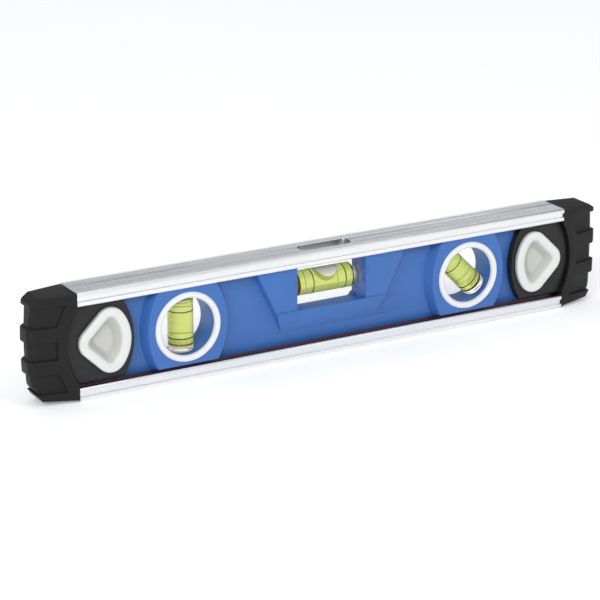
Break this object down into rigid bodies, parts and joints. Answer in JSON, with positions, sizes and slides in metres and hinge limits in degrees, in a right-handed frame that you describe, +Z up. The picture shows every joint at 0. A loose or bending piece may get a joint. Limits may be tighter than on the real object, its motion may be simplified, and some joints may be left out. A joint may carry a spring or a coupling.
{
  "type": "spirit level",
  "caption": "Torpedo spirit level with ribbed aluminium rails, a blue moulded body, a level, a plumb and a 45 degree vial, and black rubber end caps.",
  "frame": {"origin": "middle of the length and of the rail width, on the lower working face", "axes": "+X along the level towards the 45 degree vial, -Y out of the main display face, +Z up"},
  "size_m": [0.229, 0.014, 0.038],
  "materials": {
    "rail_aluminium": "extruded, with fine lengthwise ribs and a satin sheen",
    "body_plastic": "moulded blue plastic with a soft sheen",
    "core_plastic": "dark moulded plastic",
    "bumper_rubber": "black moulded rubber with a fine texture",
    "insert_plastic": "white moulded plastic",
    "bezel_plastic": "white moulded plastic",
    "vial_acrylic": "clear polished acrylic",
    "plug_acrylic": "clear acrylic end plug",
    "line_paint": "black printed line",
    "vial_liquid": "yellow-green tinted liquid",
    "bubble_air": "air bubble in the liquid"
  },
  "bodies": {
    "frame": {"top_rail": "rail_aluminium", "bottom_rail": "rail_aluminium", "body": "body_plastic", "left_cap_core": "core_plastic", "right_cap_core": "core_plastic", "left_bumper": "bumper_rubber", "right_bumper": "bumper_rubber", "front_left_insert": "insert_plastic", "front_right_insert": "insert_plastic", "back_left_insert": "insert_plastic", "back_right_insert": "insert_plastic", "front_plumb_bezel": "bezel_plastic", "front_angle_bezel": "bezel_plastic", "back_plumb_bezel": "bezel_plastic", "back_angle_bezel": "bezel_plastic", "level_vial_barrel": "vial_acrylic", "level_vial_plugs": "plug_acrylic", "level_vial_marks": "line_paint", "level_vial_fluid": "vial_liquid", "plumb_vial_barrel": "vial_acrylic", "plumb_vial_plug": "plug_acrylic", "plumb_vial_marks": "line_paint", "plumb_vial_fluid": "vial_liquid", "angle_vial_barrel": "vial_acrylic", "angle_vial_plug": "plug_acrylic", "angle_vial_marks": "line_paint", "angle_vial_fluid": "vial_liquid"},
    "level_bubble": {"level_bubble": "bubble_air"},
    "plumb_bubble": {"plumb_bubble": "bubble_air"},
    "angle_bubble": {"angle_bubble": "bubble_air"}
  },
  "joints": [
    {"name": "level_bubble_slide", "type": "slide", "parent": "frame", "child": "level_bubble", "axis": [1, 0, 0], "range_m": [-0.0068, 0.0045], "stiffness_N_per_m": 1, "deforming": ["level_vial_fluid"]},
    {"name": "plumb_bubble_slide", "type": "slide", "parent": "frame", "child": "plumb_bubble", "axis": [0, 0, 1], "range_m": [-0.0134, 0], "stiffness_N_per_m": 1, "springref_m": 0.02, "deforming": ["plumb_vial_fluid"]},
    {"name": "angle_bubble_slide", "type": "slide", "parent": "frame", "child": "angle_bubble", "axis": [-0.7071, 0, 0.7071], "range_m": [-0.0134, 0], "stiffness_N_per_m": 1, "springref_m": 0.02, "deforming": ["angle_vial_fluid"]}
  ]
}
